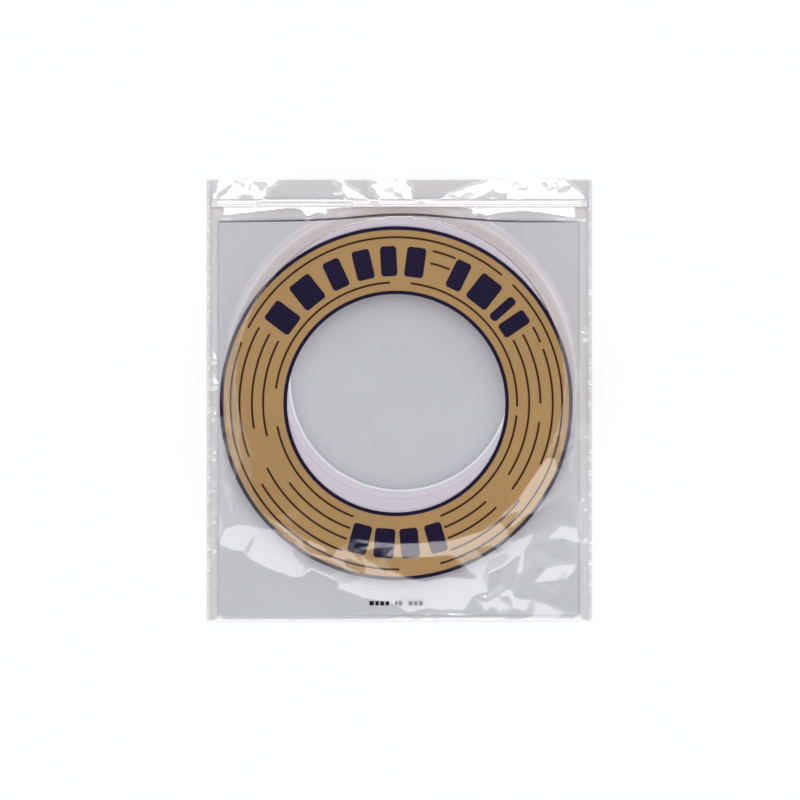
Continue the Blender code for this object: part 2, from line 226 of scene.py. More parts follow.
def crumple(xs, ys, cell, seed):
    """Random facets about one cell across, with heights from -1 to 1."""
    rng = random.Random(seed)
    points = []
    x = xs[0] - cell
    while x < xs[-1] + cell:
        y = ys[0] - cell
        while y < ys[-1] + cell:
            jitter = [rng.uniform(-0.45, 0.45) * cell for _ in range(2)]
            points.append((x + jitter[0], y + jitter[1], rng.uniform(-1, 1)))
            y += cell
        x += cell
    return facets(xs, ys, points)


def bump_at(x, y, cx, cy, rx, ry):
    """A soft oval mask: 1 at its centre, 0 at its rim."""
    return 1 - smooth(0.35, 1.0, np.hypot((x - cx) / rx, (y - cy) / ry))


def plateau_radius(x, y):
    """How far from the roll's axis the film stays up: further out where it puffs over the loose end."""
    angle = np.degrees(np.arctan2(y - ROLL_Y, x - ROLL_X))
    reach = 0.0
    for middle, half, most in PUFFS:
        off = np.abs((angle - middle + 180) % 360 - 180)
        reach = np.maximum(reach, most * np.cos(np.radians(90 * np.minimum(1.0, off / half))) ** 2)
    return ROLL_R + RIM + reach


def floor_under_film(x, y):
    """The least height of the film: over the roll, the card and the back film."""
    spare = 0.4
    r = np.hypot(x - ROLL_X, y - ROLL_Y)
    over_tail = r < plateau_radius(x, y) - 1.5
    height = np.where(over_tail, TAPE_HIGH[2] + LOW_CLEARANCE, LOW_CLEARANCE)
    height = np.where(r < ROLL_R + RIM, CORE_HIGH[2] + CLEARANCE, height)
    on_card = (x > CARD_LOW[0] - spare) & (x < CARD_HIGH[0] + spare)
    on_card &= (y > CARD_LOW[1] - spare) & (y < CARD_HIGH[1] + spare)
    return np.maximum(height, np.where(on_card, CARD_HIGH[2] + CLEARANCE, LOW_CLEARANCE))


def edge_heights(xs):
    """Heights along the film's two ends: at the bottom fold, and under the zip."""
    ramp = smooth(0, 5.0, INNER_X - np.abs(xs))
    return [SIDE_Z + (end - SIDE_Z) * ramp for end in (FOLD_HIGH[2] - 0.08, ZIP_Z)]


def settled(xs, ys):
    """The film drawn down over what it covers: relaxed on finer and finer grids."""
    field = None
    for level in (8, 4, 2, 1):
        gx, gy = xs[::level], ys[::level]
        if gx[-1] != xs[-1]:
            gx = np.append(gx, xs[-1])
        if gy[-1] != ys[-1]:
            gy = np.append(gy, ys[-1])
        x, y = np.meshgrid(gx, gy)
        least = floor_under_film(x, y)
        on_roll = np.hypot(x - ROLL_X, y - ROLL_Y) < plateau_radius(x, y)
        pull = np.where(on_roll, SUCTION_ON_ROLL, SUCTION)[1:-1, 1:-1] * (gx[1] - gx[0]) ** 2
        bottom, top = edge_heights(gx)
        if field is None:
            field = least.copy()
        else:
            rows = np.array([np.interp(gx, old[0], row) for row in field])
            field = np.array([np.interp(gy, old[1], col) for col in rows.T]).T
        for _ in range(200):
            field[:, 0] = field[:, -1] = SIDE_Z
            field[0, :], field[-1, :] = bottom, top
            inner = field[1:-1, :-2] + field[1:-1, 2:] + field[:-2, 1:-1] + field[2:, 1:-1]
            field[1:-1, 1:-1] = np.maximum((inner - pull) / 4, least[1:-1, 1:-1])
        old = (gx, gy)
    return field


class Sheet:
    """A height field on a grid, in millimetres, that can be sampled anywhere."""

    def __init__(self, xs, ys, field):
        self.xs, self.ys, self.field = xs, ys, field

    def at(self, x, y):
        places = []
        for value, line in ((x, self.xs), (y, self.ys)):
            cells = (np.asarray(value, float) - line[0]) / (line[1] - line[0])
            places.append(np.clip(cells, 0, len(line) - 1.001))
        u, v = places
        i, j = u.astype(int), v.astype(int)
        a, b = u - i, v - j
        f = self.field
        near = f[j, i] * (1 - a) + f[j, i + 1] * a
        far = f[j + 1, i] * (1 - a) + f[j + 1, i + 1] * a
        return near * (1 - b) + far * b


# Where the film's last ridge lies between the roll and the zip, as (x, y)
RIDGE = (
    (-66.0, 63.3), (-57.3, 64.7), (-47.9, 66.1), (-40.6, 66.9), (-34.6, 66.9), (-32.5, 63.6), (-28.4, 65.6),
    (-22.4, 66.4), (-13.7, 66.8), (0.2, 66.9), (14.2, 66.9), (24.7, 66.5), (28.2, 65.4), (30.6, 63.9),
    (35.1, 65.4), (42.1, 66.3), (49.1, 65.6), (56.1, 64.0), (58.9, 63.2), (66.5, 62.4),
)


def ridged(x, y, field, end_z):
    """The film between the card's top edge and the zip: up to a ridge, then down to the zip."""
    top_y = y[-1, 0]
    ridge_y = np.interp(x[0], *zip(*RIDGE))
    rim_y = ROLL_Y + np.sqrt(np.maximum(0, (ROLL_R + 1.9) ** 2 - (x[0] - ROLL_X) ** 2))
    start_y = np.maximum(CARD_HIGH[1] - 0.4, np.where(np.abs(x[0]) < 28, rim_y, 0))
    ends = smooth(0, 4, INNER_X - np.abs(x[0]))
    made = field.copy()
    for i in range(1, x.shape[1] - 1):
        start = start_y[i]
        ridge = max(ridge_y[i], start + 0.5)
        height = end_z[i] + GLINT_SLOPE * (top_y - 0.6 - ridge) * ends[i] + 0.1
        above = y[:, i] > start
        start_z = np.interp(start, y[:, i], field[:, i])
        bends = (start, ridge, top_y - 0.3, top_y)
        made[above, i] = np.interp(y[above, i], bends, (start_z, height, end_z[i], end_z[i]))
    return made


def bend_points(ys, upper):
    """The points between which the lower film is flat: its creases and edges."""
    points = list(BENDS)
    for seam in (-3.0, 3.0):
        for across in (-62, -60, -58, -56, -54, -30, 0, 30, 54, 56, 58, 60, 62):
            points.append((across, seam, float(upper.at(across, seam))))
    for along in np.arange(-2.0, ys[0], -6.0):
        for sign in (-1, 1):
            points.append((sign * MARGIN_X, along, 1.45 + 0.12 * math.sin(1.3 * along)))
            points.append((sign * INNER_X, along, SIDE_Z))
    for across in np.linspace(-60, 60, 21):
        points.append((across, ys[0], 0.95))
    outside = INNER_X + 2
    points += [(sign * across, ys[0] - 1, 0.5) for sign in (-1, 1) for across in (INNER_X, outside)]
    points += [(sign * outside, y_end, SIDE_Z) for sign in (-1, 1) for y_end in (ys[0], 3)]
    return points


def pleated(x, y, field):
    """The side margins: the film comes down beside the card and puckers into short pleats."""
    margin_top = 1.5 + 1.3 * np.maximum(0, 63.0 - np.abs(x))
    field = np.where(y < 60, np.minimum(field, margin_top), field)
    rise = 1.2
    for sign, y0, y1 in GLINTS:
        inner_edge = 62.7 + 1.4 * np.abs(np.sin(0.8 * y + y0))
        here = (x * sign > inner_edge) & (x * sign < INNER_X - 0.4) & (y > y0 - rise) & (y < y1)
        pleat = 0.75 + np.interp(y, (y0 - rise, y0, y1), (0, 1, 0)) * GLINT_SLOPE * (y1 - y0)
        field = np.where(here, pleat, field)
    return field


def creased(xs, ys, field):
    """Small creases off the roll, most of them at the lower right, and long soft waves over the roll."""
    x, y = np.meshgrid(xs, ys)
    edge = smooth(0, 3, INNER_X - np.abs(x)) * smooth(0, 3, y - ys[0])
    off_roll = smooth(0.5, 7.0, np.hypot(x - ROLL_X, y - ROLL_Y) - plateau_radius(x, y))
    low_right = bump_at(x, y, 48, -58, 34, 30)
    margin = smooth(MARGIN_X - 1.4, MARGIN_X, np.abs(x))
    small = 0.10 * crumple(xs, ys, 5.2, 8) * (0.05 + low_right) + 0.10 * crumple(xs, ys, 3.0, 21) * margin
    waves = 0.10 * blur(crumple(xs, ys, 24.0, 3), 6)
    return field + off_roll * edge * small * (y < 61) + waves * (1 - off_roll)


def front_sheet():
    """The whole front film: faceted in its lower half, relaxed above that."""
    xs = np.linspace(-INNER_X, INNER_X, int(2 * INNER_X / STEP) + 1)
    low, high = FOLD_LOW[1] + 0.55, MOUTH_Y + 0.75
    ys = np.linspace(low, high, int((high - low) / STEP) + 1)
    x, y = np.meshgrid(xs, ys)
    upper = ridged(x, y, settled(xs, ys), edge_heights(xs)[1])
    lower = facets(xs, ys, bend_points(ys, Sheet(xs, ys, upper)))
    share = smooth(-14, -3, y)
    field = creased(xs, ys, pleated(x, y, lower * (1 - share) + upper * share))
    least = floor_under_film(x, y)
    return Sheet(xs, ys, np.maximum(blur(np.maximum(field, least), 0.6), least * 0.985))


# ---- meshes


def new_object(name, verts, faces, material, smooth_shade=True):
    mesh = bpy.data.meshes.new(name)
    mesh.from_pydata([tuple(c * MM for c in v) for v in verts], [], faces)
    mesh.materials.append(material)
    if smooth_shade:
        mesh.shade_smooth()
    mesh.update()
    obj = bpy.data.objects.new(name, mesh)
    bpy.context.scene.collection.objects.link(obj)
    return obj


def grid_faces(rows, columns, closed=False, offset=0):
    """Quads of a grid whose vertices run column by column within each row."""
    faces = []
    for j in range(rows - 1):
        for i in range(columns if closed else columns - 1):
            k = (i + 1) % columns
            a, b = offset + j * columns + i, offset + j * columns + k
            faces.append((a, b, b + columns, a + columns))
    return faces


def tube_faces(stations, around, flip):
    """Faces of a closed tube: so many points round it at each station, and a cap at each end."""
    last = around * (stations - 1)
    faces = grid_faces(stations, around, True)
    faces += [tuple(range(around))[::-1], tuple(range(last, last + around))]
    return [f[::-1] for f in faces] if flip else faces


def grid_object(name, xs, ys, field, material):
    x, y = np.meshgrid(xs, ys)
    verts = np.stack([x.ravel(), y.ravel(), field.ravel()], 1)
    return new_object(name, verts, grid_faces(len(ys), len(xs)), material)


def on_film(name, verts, faces, lift, sheet, material):
    """Ink that follows the film, a little above or below it."""
    verts = np.array(verts)
    verts[:, 2] = sheet.at(verts[:, 0], verts[:, 1]) + lift
    return new_object(name, verts, faces, material)


def polar_patch(name, parts, lift, sheet, material):
    """Curved bands of ink round the print's centre, each (r0, r1, angle0, angle1)."""
    verts, faces = [], []
    for r0, r1, a0, a1 in parts:
        rows = max(3, int((r1 - r0) / PATCH_ROW) + 1)
        columns = max(3, int(math.radians(a1 - a0) * (r0 + r1) / 2 / PATCH_COLUMN) + 1)
        full = abs(a1 - a0 - 360) < 1e-6
        faces += grid_faces(rows, columns, full, len(verts))
        for j in range(rows):
            r = r0 + (r1 - r0) * j / (rows - 1)
            for i in range(columns):
                share = i / columns if full else i / (columns - 1)
                angle = math.radians(a0 + (a1 - a0) * share)
                verts.append((PRINT_X + r * math.cos(angle), PRINT_Y + r * math.sin(angle), 0))
    return on_film(name, verts, faces, lift, sheet, material)


# ---- materials


class Shader:
    """A short way to write node materials: each call adds a node and returns its output."""

    def __init__(self, name):
        self.material = bpy.data.materials.new(name)
        self.material.use_nodes = True
        self.tree = self.material.node_tree
        self.tree.nodes.clear()
        self.out = self.tree.nodes.new("ShaderNodeOutputMaterial")

    def put(self, socket, value):
        """Links a node's output to the socket, or sets the socket to a plain value."""
        if hasattr(value, "is_output"):
            self.tree.links.new(value, socket)
        else:
            socket.default_value = (*value, 1) if socket.type == "RGBA" else value

    def node(self, kind, output=0, **inputs):
        """Inputs are given by name, with _ for a space, or as _0, _1 and so on by place."""
        made = self.tree.nodes.new("ShaderNode" + kind)
        for key, value in inputs.items():
            key = int(key[1:]) if key[0] == "_" else key.replace("_", " ")
            self.put(made.inputs[key], value)
        return made.outputs[output]

    def math(self, operation, *values):
        made = self.tree.nodes.new("ShaderNodeMath")
        made.operation = operation
        for socket, value in zip(made.inputs, values):
            self.put(socket, value)
        return made.outputs[0]

    def coords(self, stretch=(1, 1, 1)):
        """The object's own coordinates."""
        return self.node("Mapping", Vector=self.node("TexCoord", 3), Scale=stretch)

    def noise(self, scale, detail=3.0, roughness=0.5, stretch=(1, 1, 1), vector=None):
        vector = vector or self.coords(stretch)
        return self.node("TexNoise", Vector=vector, Scale=scale, Detail=detail, Roughness=roughness)

    def split(self, vector):
        """The X, Y and Z outputs of a vector."""
        made = self.tree.nodes.new("ShaderNodeSeparateXYZ")
        self.put(made.inputs[0], vector)
        return made.outputs

    def ramp(self, value, *stops):
        """Colour stops as (position, colour)."""
        made = self.tree.nodes.new("ShaderNodeValToRGB")
        elements = made.color_ramp.elements
        while len(elements) < len(stops):
            elements.new(0.5)
        for element, (position, colour) in zip(elements, stops):
            element.position = position
            element.color = (*colour, 1)
        self.put(made.inputs[0], value)
        return made.outputs[0]

    def mix(self, share, one, two):
        made = self.tree.nodes.new("ShaderNodeMix")
        made.data_type = "RGBA"
        self.put(made.inputs[0], share)
        self.put(made.inputs[6], one)
        self.put(made.inputs[7], two)
        return made.outputs[2]

    def bump(self, height, strength, distance):
        return self.node("Bump", Height=height, Strength=strength, Distance=distance)

    def principled(self, **inputs):
        return self.node("BsdfPrincipled", **inputs)

    def finish(self, surface):
        self.tree.links.new(surface, self.out.inputs["Surface"])
        return self.material


def srgb(r, g, b):
    """A colour given as 0 to 255 display values."""
    return tuple(((v / 255 + 0.055) / 1.055) ** 2.4 if v > 10 else v / 255 / 12.92 for v in (r, g, b))


def film_material(name, tint, haze, roughness=0.10, metal=1.0):
    """Clear film in one sheet: what is behind it shows, and both its faces mirror a limited share."""
    s = Shader(name)
    wave = s.noise(420.0, 3.0, 0.55)
    normal = s.bump(wave, 0.05, 0.0006)
    facing = s.node("Fresnel", IOR=1.5, Normal=normal)
    share = s.math("MULTIPLY_ADD", facing, FILM_FACES, haze)
    share = s.math("MINIMUM", share, min(0.9, FILM_GLOSS_LIMIT + haze))
    clear = s.node("BsdfTransparent", Color=tint)
    gloss = s.principled(Base_Color=FILM_WHITE, Metallic=metal, Roughness=roughness, Normal=normal)
    return s.finish(s.node("MixShader", _0=share, _1=clear, _2=gloss))


def ink_material(name, colour, spread, roughness=0.35):
    s = Shader(name)
    grain = s.noise(900.0, 4.0, 0.6)
    cloud = s.noise(28.0, 3.0, 0.5)
    dark = tuple(c * (1 - spread) for c in colour)
    light = tuple(min(1, c * (1 + spread)) for c in colour)
    mottled = s.ramp(cloud, (0.3, dark), (0.7, light))
    shade = s.mix(s.math("MULTIPLY", grain, 0.25), mottled, dark)
    return s.finish(s.principled(Base_Color=shade, Roughness=roughness, Specular_IOR_Level=0.08))


def card_material():
    s = Shader("grey_card_look")
    cloud = s.noise(60.0, 5.0, 0.6)
    fibre = s.noise(1400.0, 4.0, 0.7, (1, 0.35, 1))
    base = s.ramp(cloud, (0.32, CARD_COLOURS[0]), (0.68, CARD_COLOURS[1]))
    shade = s.mix(s.ramp(fibre, (0.35, (0.0,) * 3), (0.75, (0.22,) * 3)), base, (0.78, 0.78, 0.82))
    normal = s.bump(fibre, 0.25, 0.00006)
    return s.finish(s.principled(Base_Color=shade, Roughness=0.82, Normal=normal, Specular_IOR_Level=0.2))


def painted_edge_shadow_material():
    """Painted shadow on the card's top edge where it curls up against the roll: near black in the middle,
    paler to the ends.
    """
    s = Shader("card_edge_painted_shadow_look")
    half_card = (CARD_HIGH[0] - CARD_LOW[0]) / 2 * MM
    away = s.math("MULTIPLY", s.math("ABSOLUTE", s.split(s.coords())[0]), 1 / half_card)
    shade = s.ramp(away, *EDGE_SHADOW_COLOURS)
    return s.finish(s.principled(Base_Color=shade, Roughness=0.9, Specular_IOR_Level=0.0))


def distance_from_axis(s):
    x, y, _ = s.split(s.node("TexCoord", 3))
    return s.math("SQRT", s.math("ADD", s.math("MULTIPLY", x, x), s.math("MULTIPLY", y, y)))


def radial(s, scale, detail):
    """Noise that depends only on the distance from the object's own Z axis."""
    place = s.node("CombineXYZ", X=distance_from_axis(s))
    return s.noise(scale, detail, 0.7, vector=place)


def tape_edge_material():
    s = Shader("wound_tape_look")
    rings = radial(s, 5200.0, 2.0)
    bands = radial(s, 420.0, 3.0)
    fibre = s.noise(2600.0, 3.0)
    white, copper = TAPE_COLOURS
    turns = s.ramp(rings, (0.36, copper), (0.50, white), (0.80, tuple(min(1, c * 1.05) for c in white)))
    shade = s.mix(s.ramp(bands, (0.35, (0.0,) * 3), (0.7, (0.35,) * 3)), turns, white)
    normal = s.bump(s.math("ADD", rings, s.math("MULTIPLY", fibre, 0.3)), 0.5, 0.00008)
    return s.finish(s.principled(Base_Color=shade, Roughness=0.6, Normal=normal, Specular_IOR_Level=0.15))


def core_material():
    s = Shader("core_board_look")
    plies = radial(s, 1500.0, 2.0)
    fibre = s.noise(1800.0, 4.0, 0.7)
    board = s.ramp(plies, (0.3, CORE_COLOURS[0]), (0.7, CORE_COLOURS[1]))
    board = s.mix(s.math("MULTIPLY", fibre, 0.12), board, (0.62, 0.58, 0.56))
    # A near-white band 0.6 mm wide round the bore: a painted highlight along the core's inner rim
    inner = s.math("LESS_THAN", distance_from_axis(s), (BORE_R + 0.6) * MM)
    shade = s.mix(inner, board, (0.97, 0.975, 0.985))
    normal = s.bump(s.math("ADD", plies, fibre), 0.35, 0.00008)
    return s.finish(s.principled(Base_Color=shade, Roughness=0.75, Normal=normal, Specular_IOR_Level=0.2))


def copper_material():
    s = Shader("copper_foil_look")
    streak = s.noise(900.0, 4.0, 0.6, (1, 1, 0.06))
    tarnish = s.noise(45.0, 4.0, 0.6)
    shade = s.ramp(tarnish, (0.3, (0.83, 0.42, 0.27)), (0.72, (0.94, 0.58, 0.42)))
    rough = s.math("MULTIPLY_ADD", streak, 0.18, 0.16)
    normal = s.bump(streak, 0.12, 0.00003)
    return s.finish(s.principled(Base_Color=shade, Metallic=1.0, Roughness=rough, Normal=normal))


def liner_material():
    s = Shader("release_liner_look")
    fibre = s.noise(1500.0, 5.0, 0.7)
    shade = s.ramp(fibre, (0.3, (0.82, 0.81, 0.79)), (0.7, (0.92, 0.91, 0.90)))
    normal = s.bump(fibre, 0.2, 0.00004)
    return s.finish(s.principled(Base_Color=shade, Roughness=0.42, Normal=normal))


def floor_material():
    s = Shader("studio_floor_look")
    grain = s.noise(9.0, 2.0)
    shade = s.ramp(grain, (0.3, (0.955, 0.955, 0.955)), (0.7, (0.965, 0.965, 0.965)))
    return s.finish(s.principled(Base_Color=shade, Roughness=0.9, Specular_IOR_Level=0.1))


# How bright the walls are, as (how far a direction points to that side, level)
SIDE_LEVELS = ((0.25, 0.04), (0.65, 0.6))
FRONT_LEVELS = ((0.14, 0.04), (0.26, 0.9), (0.75, 0.9), (0.95, 0.6))
BACK_LEVELS = ((0.12, 0.04), (0.24, 1.1), (0.5, 1.1), (0.8, 0.6))

# Colours in linear values, some as the two ends of a variation
CARD_COLOURS = ((0.643, 0.648, 0.68), (0.676, 0.68, 0.713))
TAPE_COLOURS = ((0.755, 0.705, 0.79), (0.69, 0.585, 0.60))  # the liner's edge, and with copper showing
CORE_COLOURS = ((0.735, 0.70, 0.78), (0.77, 0.73, 0.815))
# The painted shadow along the card's top edge, as (share of the way from its middle to its side, colour)
EDGE_SHADOW_COLOURS = ((0.14, (0.004, 0.003, 0.004)), (0.38, (0.05, 0.043, 0.046)), (0.95, (0.30, 0.29, 0.31)))
GOLD = (0.507, 0.311, 0.128)
NAVY = srgb(24, 14, 52)
BROWN = srgb(58, 34, 22)
FILM_TINT = (0.931, 0.926, 0.931)
FILM_WHITE = (0.98, 0.975, 0.98)
FILM_FACES = 2.0  # both faces of the film mirror
FILM_GLOSS_LIMIT = 0.11  # the most that clear film mirrors, also at a low angle

film = film_material("clear_film_look", FILM_TINT, 0.0)
weld_film = film_material("weld_film_look", (0.95, 0.94, 0.95), 0.10, roughness=0.2, metal=0.5)
zip_plastic = film_material("zip_plastic_look", FILM_WHITE, 0.93, roughness=0.25, metal=0.05)
gold = ink_material("gold_ink_look", GOLD, 0.05)
navy = ink_material("navy_ink_look", NAVY, 0.1)
brown = ink_material("brown_ink_look", BROWN, 0.1)
card_look = card_material()
# painted shadow along the card's top edge
edge_shadow_look = painted_edge_shadow_material()
tape_look = tape_edge_material()
core_look = core_material()
copper_look = copper_material()
liner_look = liner_material()


# ---- the front film and its print


def squashed(obj):
    """Gives the piece its own copy of its mesh."""
    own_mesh(obj)


def build_front_film():
    sheet = front_sheet()
    panel = grid_object("front_panel", sheet.xs, sheet.ys, sheet.field, film)
    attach(panel, "bag")
    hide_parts("front_film")
    squashed(panel)
    prints = build_print(sheet)


# The thin lines of the printed ring: each one's radius, and its stretches in degrees
RING_LINES = (
    (57.7, (50.5, 153.0), (158.5, 271.0), (285.5, 405.5)),
    (54.4, (-23.0, 20.3), (23.0, 29.2), (67.7, 76.5), (151.0, 200.0), (211.0, 250.0), (290.3, 322.0)),
    (50.1, (0.0, 28.6), (68.2, 76.3), (151.2, 190.0), (206.5, 250.0), (291.0, 314.0), (323.5, 352.5)),
    (46.2, (-32.5, 28.4), (152.0, 194.3), (216.5, 249.7), (291.3, 312.5)),
    (42.0, (-1.5, 83.0), (93.0, 173.0), (191.0, 249.2), (291.5, 354.3)),
)


def block_patch(name, blocks, lift, sheet, material):
    """Upright blocks with rounded corners on the ring, each (r0, r1, angle, width)."""
    verts, faces = [], []
    corner, rows, column_width = 0.9, 14, 0.5
    for r0, r1, angle, width in blocks:
        columns = max(6, int(width / column_width))
        faces += grid_faces(rows, columns, False, len(verts))
        out = Vector((math.cos(math.radians(angle)), math.sin(math.radians(angle))))
        along = Vector((-out.y, out.x))
        for j in range(rows):
            for i in range(columns):
                across = width * (i / (columns - 1) - 0.5)
                side = width / 2 - abs(across)
                inset = corner - math.sqrt(corner**2 - (corner - side) ** 2) if side < corner else 0
                r = r0 + inset + (r1 - r0 - 2 * inset) * j / (rows - 1)
                spot = Vector((PRINT_X, PRINT_Y)) + out * r - along * across
                verts.append((spot.x, spot.y, 0))
    return on_film(name, verts, faces, lift, sheet, material)


def block_spans():
    """Dark blocks in two groups, where a heading would stand: plain shapes, no lettering."""
    top = [(143, 8.0), (128.6, 8.6), (115, 6.2), (103.4, 6.2), (93, 5.6), (82.3, 6.6)]
    top += [(64, 5.6), (51.8, 8.6), (41.5, 3.2), (34, 5.4)]
    bottom = [(255, 6.6), (265.2, 7.0), (275.5, 6.4), (286.5, 6.0)]
    blocks = [(44.2, 54.6, middle, width) for middle, width in top]
    return blocks + [(43.6, 53.9, middle, width) for middle, width in bottom]


def build_print(sheet):
    half, overlap = LINE_WIDTH / 2, 0.25
    thin = [(r - half, r + half, start, end) for r, *arcs in RING_LINES for start, end in arcs]
    inner, outer = PRINT_IN + BORDER_WIDTH, PRINT_OUT - BORDER_WIDTH
    borders = [(PRINT_IN, inner, 0, 360), (outer, PRINT_OUT, 0, 360)]
    ring = [(inner - overlap, outer + overlap, 0, 360)]
    pieces = [
        polar_patch("ring_ink", ring, GOLD_LIFT, sheet, gold),
        polar_patch("ring_borders", borders, NAVY_LIFT, sheet, navy),
        polar_patch("ring_lines", thin, LINE_LIFT, sheet, brown),
        block_patch("ring_blocks", block_spans(), NAVY_LIFT, sheet, navy),
        small_line(sheet),
    ]
    for piece in pieces:
        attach(piece, "bag")
        squashed(piece)
    return pieces


def small_line(sheet):
    """A row of tiny dashes near the bottom edge, in three groups."""
    verts, faces = [], []
    x, y, high = -10.4, -71.4, 1.5
    gap, group_gap = 0.55, 1.65
    for widths in ((1.5, 1.2, 1.3, 1.2), (0.5, 1.3), (1.4, 1.2, 1.3)):
        for width in widths:
            k = len(verts)
            verts += [(x, y, 0), (x + width, y, 0), (x + width, y + high, 0), (x, y + high, 0)]
            faces.append((k, k + 1, k + 2, k + 3))
            x += width + gap
        x += group_gap
    return on_film("small_dashes", verts, faces, NAVY_LIFT, sheet, navy)


# ---- lips, zip, welds and back film

LIP_ROOT = 2.9  # the part of the lip that lies on the zip
# Bright facets of the lip, each as its left and right x at the zip, and then at the free edge
LIP_FACETS = (
    ((-66.4, -47.9), (-66.4, -41.5)), ((-17.9, -10.6), (-22.8, -19.3)),
    ((-7.4, 5.6), (-10.9, 3.4)), ((11.3, 66.4), (30.1, 58.5)),
)


def lip_field(xs, ys):
    """The lip's height: bright facets that slope to the free edge, with level film between them."""
    x, y = np.meshgrid(xs, ys)
    away = y - ys[0] - LIP_ROOT
    out = away / (ys[-1] - ys[0] - LIP_ROOT)
    bright = np.zeros(x.shape)
    for (a0, a1), (b0, b1) in LIP_FACETS:
        left, right = a0 + (b0 - a0) * out, a1 + (b1 - a1) * out
        # A facet's sides wander, apart from one that runs out to a weld
        wander = 0.5 * np.sin(1.1 * y + a0) + 0.35 * np.sin(2.3 * y + b1)
        left, right = left + wander * (a0 > -60), right - wander * (a1 < 60)
        bright = np.maximum(bright, smooth(-0.5, 0.5, x - left) * smooth(-0.5, 0.5, right - x))
    ends = smooth(0, 3, INNER_X - np.abs(x))
    field = MOUTH_Z + 0.2 * ends * smooth(0, 0.4, y - ys[0]) - GLINT_SLOPE * away * bright * ends
    for line_y, rise in ((JAW_LOW[1] + 0.55, 0.10), (JAW_HIGH[1] - 0.35, 0.12)):
        field += rise * np.exp(-(((y - line_y) / 0.22) ** 2)) * ends
    field += 0.12 * crumple(xs, ys, 6.0, 31) * smooth(0, 3, away) * ends
    field += 0.05 * crumple(xs, ys, 2.6, 32) * smooth(0, 3, away) * ends
    return blur(np.maximum(field, 0.42), 0.6)


def build_lips():
    """The front lip, in two halves that meet in the middle."""
    middle, rows = 260, 40
    xs = np.linspace(-INNER_X, INNER_X, 2 * middle + 1)
    ys = np.linspace(LIP_LOW[1], LIP_HIGH[1], rows)
    field = lip_field(xs, ys)
    for side, name in ((-1, "lip_left"), (1, "lip_right")):
        keep = slice(0, middle + 1) if side < 0 else slice(middle, None)
        lip = grid_object(name, xs[keep], ys, field[:, keep], film)
        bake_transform(lip)
        if side < 0:
            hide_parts("front_lip")


def jaw_profile():
    """The jaws' section, round its outline, as (y, z): a flange with two jaws below it."""
    mid = (JAW_LOW[1] + JAW_HIGH[1]) / 2
    half = (JAW_HIGH[1] - JAW_LOW[1]) / 2
    top, bottom = JAW_HIGH[2], JAW_LOW[2]
    flange = top - 0.25
    jaw_in, jaw_out = 0.5, 0.75
    side = [
        (half - 0.08, top), (half, top - 0.06), (half - 0.06, flange), (jaw_out, flange),
        (jaw_out, bottom + 0.1), (jaw_out - 0.09, bottom), (jaw_in - 0.25, bottom),
        (jaw_in - 0.25, bottom + 0.17), (jaw_in, bottom + 0.2), (jaw_in, flange),
    ]
    return [(mid + y, z) for y, z in side + [(-y, z) for y, z in reversed(side)]]


def build_jaws():
    """The zip's jaws, in two halves as the lip is."""
    outline = jaw_profile()
    stations = 90
    for side, name in ((-1, "zip_jaws_left"), (1, "zip_jaws_right")):
        verts = [(x, y, z) for x in np.linspace(0, side * JAW_HIGH[0], stations) for y, z in outline]
        faces = tube_faces(stations, len(outline), side > 0)
        jaws = new_object(name, verts, faces, zip_plastic, False)
        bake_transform(jaws)
        if side < 0:
            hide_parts("zip_jaws")


def build_back_film():
    """The back film: flat under the card, rippled where it is free, wavy behind the lip."""
    columns, rows = 241, 281
    xs = np.linspace(-INNER_X, INNER_X, columns)
    ys = np.linspace(FOLD_LOW[1] + 0.6, HALF_H, rows)
    x, y = np.meshgrid(xs, ys)
    free = smooth(CARD_HIGH[1], CARD_HIGH[1] + 4, y) + smooth(CARD_HIGH[0], CARD_HIGH[0] + 2.5, np.abs(x))
    free = np.clip(free, 0, 1) * smooth(0, 3, INNER_X - np.abs(x))
    ripple = 0.22 * crumple(xs, ys, 5.0, 61) + 0.12 * crumple(xs, ys, 2.6, 62)
    lip = smooth(70.5, 74, y)
    field = 0.04 + free * (0.12 + ripple * 0.6) * (1 - lip)
    field += lip * free * (0.16 + 0.12 * crumple(xs, ys, 9.0, 63) + 0.06 * crumple(xs, ys, 3.6, 64))
    back = grid_object("back_panel", xs, ys, np.maximum(blur(field, 0.7), 0.02), film)
    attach(back, "bag")
    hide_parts("back_film")


def build_welds():
    """The side seams: both films fused in a strip that puckers a little."""
    stations, thick = 420, 0.16
    ys = np.linspace(-HALF_H, HALF_H, stations)
    # The strip's section, as (x, rise above the pucker)
    section = ((INNER_X - 0.25, 0.06), (INNER_X + 0.1, 0.02), (INNER_X + 0.4, -0.03), (HALF_W - 0.1, 0.0),
               (HALF_W, -0.05))
    for side, node, name in ((-1, "left_side_weld", "weld_left"), (1, "right_side_weld", "weld_right")):
        rng = random.Random(70 + side)
        wave = 0
        for height, turns in ((0.10, 0.9), (0.08, 1.7), (0.06, 3.3)):
            wave = wave + height * np.sin(ys * turns + rng.uniform(0, 6.28))
        verts = []
        for y, pucker in zip(ys, 0.22 + np.abs(wave)):
            verts += [(side * x, y, pucker + rise) for x, rise in section]
            verts += [(side * x, y, max(0.0, pucker + rise - thick)) for x, rise in reversed(section)]
        weld = new_object(name, verts, tube_faces(stations, 2 * len(section), side > 0), weld_film)
        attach(weld, "bag")
        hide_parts(node)


